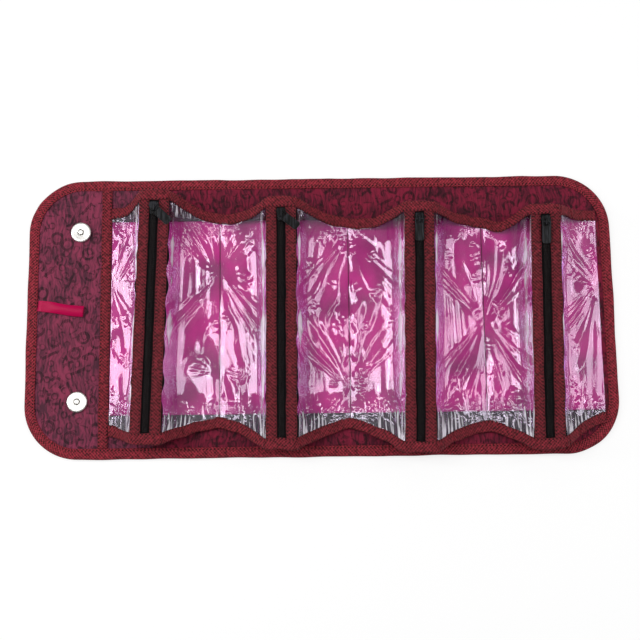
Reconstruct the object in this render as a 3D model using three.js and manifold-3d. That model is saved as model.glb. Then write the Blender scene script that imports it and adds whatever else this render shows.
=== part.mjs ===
// Folding cosmetic organizer: a quilted mat that rolls up, with four zipped clear pockets
// and a closing flap, laid open. Millimetres, +Z up. X runs along the mat, from the flap to
// the free end, and Y across it: far is the +Y side and near the -Y side. The origin lies
// on the table under the middle of the mat.

import * as THREE from 'three';
import { mergeVertices } from 'three/addons/utils/BufferGeometryUtils.js';
import Module from 'manifold-3d';

const wasm = await Module();
wasm.setup();

// Mat: quilted panels, edged with a folded binding
const matWidth = 250;
const flapLength = 65;
const cornerRadius = 48;
const cornerSteps = 12;
const panelThickness = 3;
const bindingWidth = 9.5;
const bindingCloth = 0.5;
const gap = 0.3;

// Pockets, from the flap to the free end. zipFar and zipNear are the places of the zip's two
// ends from the pocket's fold line, as shares of its width. riseFar and riseNear are the
// ridge's height above the pocket floor. outFar and outNear say how far the pocket's ends lean
// out past the lines where their gussets are sewn down, and dipFar how far the far rim sags
// in between the fold and the zip. pullTurn is how far the pull lies off the zip, in degrees.
const pocketWidth1 = 106;
const pocketWidth2 = 114;
const pocketWidth3 = 119;
const pocketWidth4 = 116;
const pockets = [
  {
    width: pocketWidth1, zipFar: 0.481, zipNear: 0.425, riseFar: 30, riseNear: 28,
    outFar: 21, outNear: 27, dipFar: 0, pullTurn: 48,
  },
  {
    width: pocketWidth2, zipFar: 0.487, zipNear: 0.478, riseFar: 30, riseNear: 27,
    outFar: 14, outNear: 33, dipFar: 0, pullTurn: 52,
  },
  {
    width: pocketWidth3, zipFar: 0.521, zipNear: 0.492, riseFar: 30, riseNear: 25,
    outFar: 8, outNear: 37, dipFar: 2.5, pullTurn: 0,
  },
  {
    width: pocketWidth4, zipFar: 0.457, zipNear: 0.427, riseFar: 30, riseNear: 22,
    outFar: 4, outNear: 35, dipFar: 7, pullTurn: 0,
  },
];

// Where the middle of the bound rim lies at the strip, at the three seams and at the free end,
// out past the same sewn lines, and how far those lines lie in from the mat's edges
const seamOutFar = [7, 1, -4, -5, 0];
const seamOutNear = [13, 7, 9, 12.5, 6.5];
const marginFar = 38.5;
const marginNear = 37.5;

// Pocket pieces. A film's profile rises from its seam as a power of the way to the zip: low
// at its ends, where the rim's crest sets it, and high in the middle, where the film lies
// flat and then climbs steeply.
const stripWidth = 9;
const stripThickness = 1;
const floorThickness = 0.6;
const rimWidth = 10;
const rimThickness = 1.4;
const rimCorner = 0.25;
const endClear = 5;
const rimLift = 0.5;
const gussetCloth = 0.8;
const gussetFlat = 0.35;
const filmThickness = 0.5;
const filmClear = 0.6;
const crestPower = 2.2;
const wallPower = 7;
const outwardPower = 1.5;
const farLeftPower = 3;
const dipPlace = 0.4375;
const profileSteps = 8;
const lengthSteps = 10;

// Zip: a nylon coil on its tapes, between two facing tapes
const zipOpening = 7.6;
const facingWidth = 9.2;
const facingThickness = 1;
const zipTapeWidth = 24;
const zipTapeThickness = 0.8;
const coilWidth = 5.2;
const coilHeight = 1.9;

// Slider and pull
const sliderLength = 11;
const sliderNose = 8.4;
const sliderTail = 6;
const sliderPlate = 0.9;
const sliderFlange = 0.6;
const sliderRest = 1;
const lugWidth = 1.4;
const lugLength = 6.2;
const lugWall = 0.8;
const lugClear = 2.1;
const pullLength = 19;
const pullWidth = 7.8;
const pullThickness = 1.1;
const pullArm = 0.8;
const pullEye = 4;
const pullDroop = 3;

// Magnetic snaps: a studded cap on the flap, and the socket it closes on under the last panel
const snapRadius = 9;
const snapHeight = 2.2;
const snapEdge = 0.6;
const studRadius = 2;
const studHeight = 0.4;
const socketRadius = 2.6;
const socketDepth = 0.9;
const snapFromFold = 18.4;
const socketFromEnd = 19;
const snapFromFarEdge = 47.8;
const snapFromNearEdge = 50.2;
const snapSides = 32;

// Ribbon loop that hangs the mat up
const loopLength = 41;
const loopWidth = 10;
const loopCloth = 0.5;
const loopOpening = 1.4;
const loopPlace = 10.6;
const loopTurn = -8;

// Heights and places worked out from the sizes above
const matLength = pockets.reduce((sum, pocket) => sum + pocket.width, flapLength);
const inset = bindingCloth + gap;
const panelTop = inset + panelThickness;
const bindingTop = panelTop + inset;
const clothBase = panelTop + gap;
const floorTop = clothBase + floorThickness;
const filmBase = floorTop + gap;
const rimBase = filmBase + rimLift;
const farRoot = matWidth / 2 - marginFar;
const nearRoot = matWidth / 2 - marginNear;
const foldX = flapLength - matLength / 2;
const snapPlaces = [matWidth / 2 - snapFromFarEdge, snapFromNearEdge - matWidth / 2];
const filmEdge = zipOpening / 2 + facingWidth + gap;
const coilTop = coilHeight - facingThickness - gap;
const plateTop = coilTop + gap + sliderPlate;

const cloth = (color) => new THREE.MeshStandardMaterial({ color, roughness: 0.85, metalness: 0 });
const finishes = {
  print: cloth(0x6a3346),
  binding: cloth(0x7f2d39),
  floor: new THREE.MeshStandardMaterial({ color: 0xb0307f, roughness: 0.5, metalness: 0 }),
  film: new THREE.MeshStandardMaterial({ color: 0xe8d8e2, roughness: 0.08, transparent: true, opacity: 0.3 }),
  zip: new THREE.MeshStandardMaterial({ color: 0x151417, roughness: 0.6, metalness: 0 }),
  slider: new THREE.MeshStandardMaterial({ color: 0x141416, roughness: 0.35, metalness: 0.6 }),
  nickel: new THREE.MeshStandardMaterial({ color: 0xe4e4e2, roughness: 0.2, metalness: 1 }),
  ribbon: new THREE.MeshStandardMaterial({ color: 0xc01a55, roughness: 0.35, metalness: 0 }),
};

const lerp = (a, b, t) => a + (b - a) * t;
const steps = (count) => Array.from({ length: count + 1 }, (_, i) => i / count);

// A closed geometry from points and triangles, turned so that its faces point outwards.
function closedGeometry(points, triangles) {
  let volume = 0;
  for (const [a, b, c] of triangles) {
    const [p, q, r] = [points[a], points[b], points[c]];
    volume += p[0] * (q[1] * r[2] - q[2] * r[1]) + p[1] * (q[2] * r[0] - q[0] * r[2])
      + p[2] * (q[0] * r[1] - q[1] * r[0]);
  }
  const faces = volume > 0 ? triangles : triangles.map(([a, b, c]) => [a, c, b]);
  const geometry = new THREE.BufferGeometry();
  geometry.setAttribute('position', new THREE.Float32BufferAttribute(points.flat(), 3));
  geometry.setIndex(faces.flat());
  geometry.computeVertexNormals();
  return geometry;
}

// A section carried through a row of rings, each with the same number of points, and closed
// at both ends. flat gives a point's place on the end faces. From the point backFrom on, the
// section runs back beside itself, and its faces split along their other diagonal, so that a
// thin wall's two skins stay parallel.
function loft(rings, flat, backFrom = Infinity) {
  const count = rings[0].length;
  const last = (rings.length - 1) * count;
  const triangles = [];
  for (let ring = 0; ring + 1 < rings.length; ring += 1) {
    for (let i = 0; i < count; i += 1) {
      const a = ring * count + i;
      const b = ring * count + (i + 1) % count;
      if (i < backFrom) triangles.push([a, b, b + count], [a, b + count, a + count]);
      else triangles.push([a, b, a + count], [b, b + count, a + count]);
    }
  }
  const outline = rings[0].map((point) => new THREE.Vector2(...flat(point)));
  const turn = Math.sign(THREE.ShapeUtils.area(outline));
  for (const [a, b, c] of THREE.ShapeUtils.triangulateShape(outline, [])) {
    const facing = Math.sign(THREE.ShapeUtils.area([outline[a], outline[b], outline[c]])) * turn;
    const [p, q] = facing > 0 ? [b, c] : [c, b];
    triangles.push([a, q, p], [last + a, last + p, last + q]);
  }
  return closedGeometry(rings.flat(), triangles);
}

// A thin sheet between two grids of points: rows of its lower face and rows of its upper one.
function sheet(lower, upper) {
  const rows = lower.length;
  const columns = lower[0].length;
  const low = (r, c) => r * columns + c;
  const high = (r, c) => (rows + r) * columns + c;
  const triangles = [];
  const quad = (a, b, c, d) => triangles.push([a, b, c], [a, c, d]);
  const right = columns - 1;
  for (let r = 0; r + 1 < rows; r += 1) {
    for (let c = 0; c < right; c += 1) {
      quad(high(r, c), high(r, c + 1), high(r + 1, c + 1), high(r + 1, c));
      quad(low(r, c), low(r + 1, c), low(r + 1, c + 1), low(r, c + 1));
    }
    quad(low(r, 0), high(r, 0), high(r + 1, 0), low(r + 1, 0));
    quad(low(r, right), low(r + 1, right), high(r + 1, right), high(r, right));
  }
  for (let c = 0; c < right; c += 1) {
    quad(low(0, c), low(0, c + 1), high(0, c + 1), high(0, c));
    quad(low(rows - 1, c), high(rows - 1, c), high(rows - 1, c + 1), low(rows - 1, c + 1));
  }
  return closedGeometry([...lower.flat(), ...upper.flat()], triangles);
}

function box(x0, x1, y0, y1, z0, z1) {
  const geometry = new THREE.BoxGeometry(x1 - x0, y1 - y0, z1 - z0);
  return geometry.translate((x0 + x1) / 2, (y0 + y1) / 2, (z0 + z1) / 2);
}

function extrudeUp(shape, depth, base) {
  return new THREE.ExtrudeGeometry(shape, { depth, bevelEnabled: false }).translate(0, 0, base);
}

function toSolid(geometry) {
  const bare = geometry.clone();
  bare.deleteAttribute('normal');
  bare.deleteAttribute('uv');
  const merged = mergeVertices(bare, 1e-4);
  const vertProperties = new Float32Array(merged.attributes.position.array);
  const triVerts = new Uint32Array(merged.index.array);
  return new wasm.Manifold(new wasm.Mesh({ numProp: 3, vertProperties, triVerts }));
}

function toGeometry(solid) {
  const mesh = solid.getMesh();
  const geometry = new THREE.BufferGeometry();
  geometry.setAttribute('position', new THREE.BufferAttribute(mesh.vertProperties, 3));
  geometry.setIndex(new THREE.BufferAttribute(mesh.triVerts, 1));
  geometry.computeVertexNormals();
  return geometry;
}

const organizer = new THREE.Group();

function add(name, geometry, finish, parent = organizer) {
  const mesh = new THREE.Mesh(geometry, finish);
  mesh.name = name;
  parent.add(mesh);
  return mesh;
}

// Stations round one end of the mat, from the far edge to the near one, with the way inwards
// at each. side is -1 for the flap's end and 1 for the free end.
function endStations(side, startX) {
  const straight = (y) => ({ x: startX, y, inX: 0, inY: -Math.sign(y) });
  const corners = [1, -1].flatMap((turn) => steps(cornerSteps).map((step) => {
    const angle = (Math.PI / 2) * step;
    const outX = side * (turn > 0 ? Math.sin(angle) : Math.cos(angle));
    const outY = turn > 0 ? Math.cos(angle) : -Math.sin(angle);
    return {
      x: side * (matLength / 2 - cornerRadius) + cornerRadius * outX,
      y: turn * (matWidth / 2 - cornerRadius) + cornerRadius * outY,
      inX: -outX,
      inY: -outY,
    };
  }));
  return [straight(matWidth / 2), ...corners, straight(-matWidth / 2)];
}

// Panels: the flap and the last one follow the mat's rounded ends, inside the binding.
function endPanel(side, startX) {
  const points = endStations(side, startX)
    .map(({ x, y, inX, inY }) => new THREE.Vector2(x + inX * inset, y + inY * inset));
  return extrudeUp(new THREE.Shape(points), panelThickness, inset);
}

function socketSeats(geometry, sockets) {
  let solid = toSolid(geometry);
  for (const [x, y] of sockets) {
    const seat = new THREE.CylinderGeometry(snapRadius + gap, snapRadius + gap, 2 * (snapHeight + gap), snapSides);
    solid = solid.subtract(toSolid(seat.rotateX(Math.PI / 2).translate(x, y, 0)));
  }
  return toGeometry(solid);
}

// The binding is one cloth folded over the mat's edge: a channel with the panel inside it.
const bindingSection = [
  [0, 0], [bindingWidth, 0], [bindingWidth, bindingCloth], [bindingCloth, bindingCloth],
  [bindingCloth, bindingTop - bindingCloth], [bindingWidth, bindingTop - bindingCloth],
  [bindingWidth, bindingTop], [0, bindingTop],
];

function straightBinding(left, right, side) {
  const ring = (x) => bindingSection.map(([inward, z]) => [x, side * (matWidth / 2 - inward), z]);
  return loft([ring(left), ring(right)], ([, y, z]) => [y, z]);
}

function endBinding(side, startX) {
  const rings = endStations(side, startX)
    .map(({ x, y, inX, inY }) => bindingSection.map(([inward, z]) => [x + inX * inward, y + inY * inward, z]));
  return loft(rings, ([, y, z]) => [y, z]);
}

// Each pocket's own lines: where it starts and stops along the mat, and its zip's two ends.
// The last one stops where its square corners still clear the rounded binding.
const cornerReach = Math.max(farRoot, nearRoot) + endClear - (matWidth / 2 - cornerRadius);
const innerCorner = cornerRadius - bindingWidth;
const endX = matLength / 2 - cornerRadius + Math.sqrt(innerCorner ** 2 - Math.max(cornerReach, 0) ** 2) - gap;

function placePockets() {
  let line = foldX;
  return pockets.map((pocket, index) => {
    const start = line;
    line += pocket.width;
    const last = index === pockets.length - 1;
    return {
      pullTurn: pocket.pullTurn,
      start,
      stop: line,
      left: index === 0 ? start + stripWidth + 2 * gap : start + gap / 2,
      right: last ? endX : line - gap / 2,
      far: {
        side: 1, root: farRoot, out: pocket.outFar - rimWidth / 2, dip: pocket.dipFar,
        seamOut: seamOutFar.slice(index, index + 2),
        zip: [start + pocket.zipFar * pocket.width, farRoot + pocket.outFar - rimWidth, floorTop + pocket.riseFar],
      },
      near: {
        side: -1, root: nearRoot, out: pocket.outNear - rimWidth / 2, seamOut: seamOutNear.slice(index, index + 2),
        zip: [start + pocket.zipNear * pocket.width, rimWidth - nearRoot - pocket.outNear, floorTop + pocket.riseNear],
      },
    };
  });
}

// Places along a profile, from its seam at 0 to the zip's facing tape at 1, closer together
// near the tape, where the film is steep
const profile = steps(profileSteps).map((step) => 1 - (1 - step) ** 2);

// The rim's middle at one end of a pocket. half is -1 left of the zip and 1 right of it.
function rimAt(pocket, end, half, along) {
  const seamX = half < 0 ? pocket.left : pocket.right;
  const seamOut = half < 0 ? end.seamOut[0] : end.seamOut[1];
  const crest = end.zip[2] - (facingThickness + rimThickness) / 2;
  const sags = half < 0 && end.side > 0;
  const dip = sags ? end.dip * Math.max(0, 1 - Math.abs(along / dipPlace - 1)) : 0;
  return {
    x: lerp(seamX, end.zip[0] + half * filmEdge, along),
    out: lerp(seamOut, end.out, along ** (sags ? farLeftPower : outwardPower)) - dip,
    base: lerp(rimBase, crest, along ** crestPower),
  };
}

// The point of the gusset's section where it turns back along its outer skin
const gussetBack = 5;

// One end of a pocket: the gusset that stands on its sewn line and leans outwards, and the
// bound rim that it carries, which rides over the zip and dips to the mat at the seams.
function gusset(pocket, end) {
  const ring = ({ x, out, base }) => {
    const inner = out - rimWidth / 2;
    const outer = out + rimWidth / 2;
    const run = outer - gussetCloth;
    const lean = Math.max(run, 0) / Math.hypot(run, base - filmBase);
    const across = gussetCloth * Math.sqrt(1 - lean ** 2);
    const down = gussetFlat * lean;
    const foot = filmBase + (lean > 0 ? (gussetCloth - across) * (base - filmBase) / run - down : 0);
    const section = [
      [0, clothBase], [0, filmBase], [run, base], [inner, base],
      [inner, base + rimThickness], [outer, base + rimThickness], [outer, base + rimCorner],
      [run + across, base - down], [gussetCloth, foot], [gussetCloth, clothBase],
    ];
    return section.map(([outward, z]) => [x, end.side * (end.root + outward), z]);
  };
  const left = profile.map((along) => ring(rimAt(pocket, end, -1, along)));
  const right = profile.map((along) => ring(rimAt(pocket, end, 1, along))).reverse();
  return loft([...left, ...right], ([, y, z]) => [y, z], gussetBack);
}

// A clear film between a seam and the zip. Its rows run from the near rim to the far one.
function film(pocket, half) {
  const seamX = half < 0 ? pocket.left : pocket.right;
  const lower = [];
  const upper = [];
  for (const row of steps(lengthSteps)) {
    const middle = Math.abs(2 * row - 1);
    const power = lerp(wallPower, crestPower, middle ** 3);
    const seamZ = lerp(filmBase, rimBase + (rimThickness - filmThickness) / 2, middle ** 8);
    const edgeX = lerp(pocket.near.zip[0], pocket.far.zip[0], row) + half * filmEdge;
    const edgeZ = lerp(pocket.near.zip[2], pocket.far.zip[2], row) - (facingThickness + filmThickness) / 2;
    const width = Math.abs(edgeX - seamX);
    const lowerRow = [];
    const upperRow = [];
    for (const along of profile) {
      const nearRim = rimAt(pocket, pocket.near, half, along);
      const farRim = rimAt(pocket, pocket.far, half, along);
      const nearY = rimWidth / 2 - nearRoot - nearRim.out + filmClear;
      const farY = farRoot + farRim.out - rimWidth / 2 - filmClear;
      const y = lerp(nearY, farY, row);
      const x = lerp(seamX, edgeX, along);
      const z = lerp(seamZ, edgeZ, along ** power);
      const slope = (edgeZ - seamZ) * power * along ** (power - 1) / width;
      const reach = filmThickness / Math.hypot(1, slope);
      lowerRow.push([x, y, z]);
      upperRow.push([x + half * slope * reach, y, z + reach]);
    }
    lower.push(lowerRow);
    upper.push(upperRow);
  }
  return sheet(lower, upper);
}

// A section that runs straight along the zip. Its points are places across and above the zip's
// middle line at the top of the facing tapes.
function alongZip(pocket, section) {
  const ring = (end) => section.map(([across, up]) => [
    end.zip[0] + across, end.zip[1] - end.side * gap, end.zip[2] + up,
  ]);
  return loft([ring(pocket.near), ring(pocket.far)], ([x, , z]) => [x, z]);
}

function facingTape(pocket, half) {
  const inner = half * zipOpening / 2;
  const outer = inner + half * facingWidth;
  return alongZip(pocket, [[inner, -facingThickness], [outer, -facingThickness], [outer, 0], [inner, 0]]);
}

// The two zip tapes and the closed coil on them
function zipChain(pocket) {
  const tape = zipTapeWidth / 2;
  const coil = coilWidth / 2;
  const tapeTop = -facingThickness - gap;
  const tapeBase = tapeTop - zipTapeThickness;
  return alongZip(pocket, [
    [-tape, tapeBase], [tape, tapeBase], [tape, tapeTop], [coil, tapeTop],
    [coil, coilTop], [-coil, coilTop], [-coil, tapeTop], [-tape, tapeTop],
  ]);
}

// The slider's plate rides over the coil between two flanges, and its lug holds the pull.
// Its own origin is on the zip's middle line, level with the top of the facing tapes.
function sliderBody() {
  const half = sliderLength / 2;
  const nose = sliderNose / 2;
  const tail = sliderTail / 2;
  const shape = new THREE.Shape();
  shape.moveTo(-tail, 1 - half);
  shape.quadraticCurveTo(-tail, -half, 1 - tail, -half);
  shape.lineTo(tail - 1, -half);
  shape.quadraticCurveTo(tail, -half, tail, 1 - half);
  shape.quadraticCurveTo(tail, 0, nose, 2);
  shape.quadraticCurveTo(nose, half, nose - 2, half);
  shape.lineTo(2 - nose, half);
  shape.quadraticCurveTo(-nose, half, -nose, 2);
  shape.quadraticCurveTo(-tail, 0, -tail, 1 - half);
  const plateBase = plateTop - sliderPlate;
  let solid = toSolid(new THREE.ExtrudeGeometry(shape, { depth: sliderPlate, bevelEnabled: false, curveSegments: 4 })
    .translate(0, 0, plateBase));
  const flangeBase = -facingThickness;
  const flangeInner = coilWidth / 2 + gap;
  for (const side of [-1, 1]) {
    const x = side * (flangeInner + sliderFlange / 2);
    const flange = box(x - sliderFlange / 2, x + sliderFlange / 2, 2 - half, half - 2, flangeBase, plateBase + 0.2);
    solid = solid.add(toSolid(flange));
  }
  return toGeometry(solid.add(toSolid(sliderLug())));
}

function sliderLug() {
  const outer = lugLength / 2;
  const inner = outer - lugWall;
  const height = lugClear + lugWall;
  const shape = new THREE.Shape();
  shape.moveTo(-outer, -0.2);
  shape.lineTo(-outer, height - 1);
  shape.quadraticCurveTo(-outer, height, 1 - outer, height);
  shape.lineTo(outer - 1, height);
  shape.quadraticCurveTo(outer, height, outer, height - 1);
  shape.lineTo(outer, -0.2);
  shape.lineTo(inner, -0.2);
  shape.lineTo(inner, lugClear);
  shape.lineTo(-inner, lugClear);
  shape.lineTo(-inner, -0.2);
  const geometry = new THREE.ExtrudeGeometry(shape, { depth: lugWidth, bevelEnabled: false, curveSegments: 3 });
  const upright = new THREE.Matrix4().makeBasis(
    new THREE.Vector3(0, 1, 0), new THREE.Vector3(0, 0, 1), new THREE.Vector3(1, 0, 0),
  );
  return geometry.applyMatrix4(upright).translate(-lugWidth / 2, 0, plateTop);
}

// The pull is a flat tab with an eye. The bar of the eye lies in the lug, along the tab's own
// X axis, and the tab runs towards -Y.
function pullTab() {
  const half = pullWidth / 2;
  const bar = pullThickness / 2;
  const round = 2.4;
  const shape = new THREE.Shape();
  shape.moveTo(-half, bar);
  shape.lineTo(-half, round - pullLength);
  shape.quadraticCurveTo(-half, -pullLength, round - half, -pullLength);
  shape.lineTo(half - round, -pullLength);
  shape.quadraticCurveTo(half, -pullLength, half, round - pullLength);
  shape.lineTo(half, bar);
  const eye = new THREE.Path();
  eye.moveTo(pullArm - half, -bar);
  eye.lineTo(half - pullArm, -bar);
  eye.lineTo(half - pullArm, -pullEye);
  eye.lineTo(pullArm - half, -pullEye);
  eye.closePath();
  shape.holes.push(eye);
  return new THREE.ExtrudeGeometry(shape, { depth: pullThickness, bevelEnabled: false, curveSegments: 4 })
    .translate(0, 0, -bar);
}

// The slider waits just inside the far rim and runs down the zip; its +Y axis is the zip's.
function addSlider(pocket, number) {
  const nearEnd = new THREE.Vector3(...pocket.near.zip);
  const farEnd = new THREE.Vector3(...pocket.far.zip);
  const up = new THREE.Vector3(0, 0, 1);
  const along = farEnd.clone().sub(nearEnd).normalize();
  const across = along.clone().cross(up).normalize();
  const group = new THREE.Group();
  group.quaternion.setFromRotationMatrix(
    new THREE.Matrix4().makeBasis(across, along, across.clone().cross(along)),
  );
  group.position.copy(farEnd).addScaledVector(along, -gap - sliderRest - sliderLength / 2);
  add(`zip_slider_${number}`, sliderBody(), finishes.slider, group);
  const pull = add(`zip_pull_${number}`, pullTab(), finishes.slider, group);
  pull.position.z = plateTop + gap + pullThickness * Math.SQRT1_2;
  pull.rotation.set(
    THREE.MathUtils.degToRad(pullDroop), 0, THREE.MathUtils.degToRad(pocket.pullTurn), 'ZXY',
  );
  organizer.add(group);
}

function addPocket(pocket, number) {
  const { left, right } = pocket;
  add(`pocket_floor_${number}`, box(left, right, gap - nearRoot, farRoot - gap, clothBase, floorTop), finishes.floor);
  add(`gusset_far_${number}`, gusset(pocket, pocket.far), finishes.binding);
  add(`gusset_near_${number}`, gusset(pocket, pocket.near), finishes.binding);
  add(`window_left_${number}`, film(pocket, -1), finishes.film);
  add(`window_right_${number}`, film(pocket, 1), finishes.film);
  add(`facing_left_${number}`, facingTape(pocket, -1), finishes.binding);
  add(`facing_right_${number}`, facingTape(pocket, 1), finishes.binding);
  add(`zip_${number}`, zipChain(pocket), finishes.zip);
  addSlider(pocket, number);
}

// Snap halves: turned caps, each with a rolled edge. The flap's has a low stud in the middle
// and the last panel's a shallow socket for it.
function snapCap(middle) {
  const profilePoints = [
    [0, 0], [snapRadius - snapEdge, 0], [snapRadius, snapEdge], [snapRadius, snapHeight - snapEdge],
    [snapRadius - snapEdge, snapHeight], ...middle,
  ].map(([radius, z]) => new THREE.Vector2(radius, z));
  return new THREE.LatheGeometry(profilePoints, snapSides).rotateX(Math.PI / 2);
}

function addSnaps() {
  const stud = [
    [studRadius + 0.3, snapHeight], [studRadius, snapHeight + studHeight], [0, snapHeight + studHeight],
  ];
  const socket = [[socketRadius, snapHeight], [socketRadius, snapHeight - socketDepth], [0, snapHeight - socketDepth]];
  for (const [side, y] of [['far', snapPlaces[0]], ['near', snapPlaces[1]]]) {
    add(`snap_cap_${side}`, snapCap(stud), finishes.nickel).position.set(foldX - snapFromFold, y, clothBase);
    const under = add(`snap_socket_${side}`, snapCap(socket), finishes.nickel);
    under.rotation.x = Math.PI;
    under.position.set(matLength / 2 - socketFromEnd, y, snapHeight);
  }
}

// The hanging loop: a ribbon folded double, its two ends under the flap's binding
function ribbonLoop() {
  const shape = new THREE.Shape();
  const half = loopOpening / 2 + loopCloth;
  const hole = loopOpening / 2;
  shape.moveTo(0, -loopCloth);
  shape.quadraticCurveTo(loopLength / 2, -half, loopLength - half, -half);
  shape.absarc(loopLength - half, 0, half, -Math.PI / 2, Math.PI / 2, false);
  shape.quadraticCurveTo(loopLength / 2, half, 0, loopCloth);
  const opening = new THREE.Path();
  opening.moveTo(loopLength / 4, 0);
  opening.quadraticCurveTo(loopLength / 2, hole, loopLength - half, hole);
  opening.absarc(loopLength - half, 0, hole, Math.PI / 2, -Math.PI / 2, true);
  opening.quadraticCurveTo(loopLength / 2, -hole, loopLength / 4, 0);
  shape.holes.push(opening);
  const geometry = new THREE.ExtrudeGeometry(shape, { depth: loopWidth, bevelEnabled: false, curveSegments: 6 });
  return geometry.rotateX(Math.PI / 2).translate(0, loopWidth / 2, 0);
}

const placed = placePockets();
const lastPocket = placed[placed.length - 1];
add('flap_panel', endPanel(-1, foldX - gap / 2), finishes.print);
add('flap_binding', endBinding(-1, foldX - gap / 2), finishes.binding);
placed.slice(0, -1).forEach(({ start, stop }, index) => {
  const [left, right] = [start + gap / 2, stop - gap / 2];
  const edge = matWidth / 2 - inset;
  add(`back_panel_${index + 1}`, box(left, right, -edge, edge, inset, panelTop), finishes.print);
  add(`edge_binding_far_${index + 1}`, straightBinding(left, right, 1), finishes.binding);
  add(`edge_binding_near_${index + 1}`, straightBinding(left, right, -1), finishes.binding);
});
const sockets = snapPlaces.map((y) => [matLength / 2 - socketFromEnd, y]);
const lastPanel = socketSeats(endPanel(1, lastPocket.start + gap / 2), sockets);
add('back_panel_4', lastPanel, finishes.print);
add('end_binding', endBinding(1, lastPocket.start + gap / 2), finishes.binding);

const stripReach = matWidth / 2 - bindingWidth - gap;
const strip = box(
  foldX + gap / 2, foldX + gap + stripWidth, -stripReach, stripReach, clothBase, clothBase + stripThickness,
);
add('seam_strip', strip, finishes.binding);
placed.forEach((pocket, index) => addPocket(pocket, index + 1));
addSnaps();
const loop = add('hang_loop', ribbonLoop(), finishes.ribbon);
loop.position.set(bindingWidth + 2 * gap - matLength / 2, loopPlace, clothBase + loopOpening / 2 + loopCloth);
loop.rotation.z = THREE.MathUtils.degToRad(loopTurn);

export default organizer;
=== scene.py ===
"""Folding cosmetic organizer, laid open: a bound printed mat with four zipped clear pockets.

Laid out as a Blender add-on and run as a script. Shapes are worked out in millimetres.
Finished meshes, settings, materials, lamps and the camera are in metres. All of it lies
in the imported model's frame: X along the mat from the flap to the free end, Y across it
from near to far, Z up.
"""

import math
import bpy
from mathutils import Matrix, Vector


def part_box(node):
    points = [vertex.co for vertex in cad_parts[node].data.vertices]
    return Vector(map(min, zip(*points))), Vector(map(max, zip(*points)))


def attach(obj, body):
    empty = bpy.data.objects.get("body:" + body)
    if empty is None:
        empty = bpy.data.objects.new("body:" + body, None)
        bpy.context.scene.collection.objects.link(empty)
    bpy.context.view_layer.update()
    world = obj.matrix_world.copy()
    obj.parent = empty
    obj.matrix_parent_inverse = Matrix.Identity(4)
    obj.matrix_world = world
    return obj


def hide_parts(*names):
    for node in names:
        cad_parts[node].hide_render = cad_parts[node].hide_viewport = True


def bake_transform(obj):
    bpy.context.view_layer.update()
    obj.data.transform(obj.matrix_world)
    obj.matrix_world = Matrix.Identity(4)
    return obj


bl_info = {
    "name": "Folding Cosmetic Organizer",
    "version": (1, 0, 0),
    "blender": (4, 5, 0),
    "location": "View3D > Sidebar > Organizer",
    "description": "Builds a roll-up cosmetic organizer piece by piece",
    "category": "Add Mesh",
}

from functools import partial

import bpy
import numpy as np
from bpy.props import FloatProperty, FloatVectorProperty, PointerProperty
from mathutils import Matrix

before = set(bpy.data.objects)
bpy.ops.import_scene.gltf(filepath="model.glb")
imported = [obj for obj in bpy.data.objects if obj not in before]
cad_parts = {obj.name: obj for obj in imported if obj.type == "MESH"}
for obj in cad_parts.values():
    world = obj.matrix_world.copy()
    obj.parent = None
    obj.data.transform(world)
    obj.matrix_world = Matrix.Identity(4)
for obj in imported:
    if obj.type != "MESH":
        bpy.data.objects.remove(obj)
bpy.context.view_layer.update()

# The mat, as in the part's source
MAT_LENGTH, MAT_WIDTH = 520.0, 250.0
CORNER_RADIUS = 48.0
BINDING_WIDTH, BINDING_TOP = 9.5, 4.6
FLAP_FOLD = -195.0
FOLDS = (-89.0, 25.0, 144.0)
POCKET_END = 247.0
STRIP = (-194.8, -186.0)

# The pockets' ends: sewn lines, and the rims' middles past them at the seams and the ridges
ROOT = {1: 86.5, -1: 87.5}
SEAM_OUT = {1: (7.0, 1.0, -4.0, -5.0, 0.0), -1: (13.0, 7.0, 9.0, 12.5, 6.5)}
RIDGE_OUT = {1: (16.0, 9.0, 3.0, -1.0), -1: (22.0, 28.0, 32.0, 30.0)}
FAR_SAGS, SAG_PLACE = (0.0, 0.0, 2.5, 7.0), 0.4375
RIM_WIDTH, RIM_BASE = 10.0, 5.5
RIM_LEVEL, RIM_DROP = 13.3, 1.2
FILM_BASE, CLOTH_BASE = 5.0, 4.1
SEAMS = (-185.4, *FOLDS, POCKET_END)

# Each zip's two ends, at the top of its facing tapes
ZIP_X = {1: (-144.0, -33.5, 87.0, 197.0), -1: (-149.95, -34.5, 83.5, 193.5)}
ZIP_Z = {1: (34.7, 34.7, 34.7, 34.7), -1: (32.7, 31.7, 29.7, 26.7)}
RIDGES = tuple((a + b) / 2 for a, b in zip(ZIP_X[1], ZIP_X[-1]))

# Where stitches pull each film down to its seam, as Y places
PINCHES = ((25.0,), (36.0,), (68.0, -66.0), (-8.0,), (25.0,))

# Widths and thicknesses, the places of the films' edges and the tapes beside and above a
# zip's middle, and how far a film reaches under the rims
RIM_THICK, STRIP_THICK, SHEET_THICK, GUSSET_THICK = 2.4, 1.1, 0.3, 0.4
FACING_WIDTH, FACING_THICK, FACING_OUT, FACING_UP = 9.1, 1.0, 8.55, -0.55
ZIP_WIDTH, ZIP_THICK, ZIP_OUT, ZIP_UP = 26.6, 0.6, 0.5, -1.75
FILM_OUT, FILM_UP, FILM_TUCK = 12.6, -1.3, 3.0
COIL_RADIUS = 0.36
LOOP_LENGTH, LOOP_WIDTH, LOOP_THICK = 40.6, 9.4, 0.32
LOOP_ROOT = np.array([-249.7, 10.6, 5.62])

# A millimetre in metres, the way up, the signs and words for the sides, and the pockets
MM = 0.001
UP = np.array([0, 0, 1.0])
SIDES = ((1, "far"), (-1, "near"))
HALVES = ((-1, "left"), (1, "right"))
POCKETS = range(4)


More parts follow.
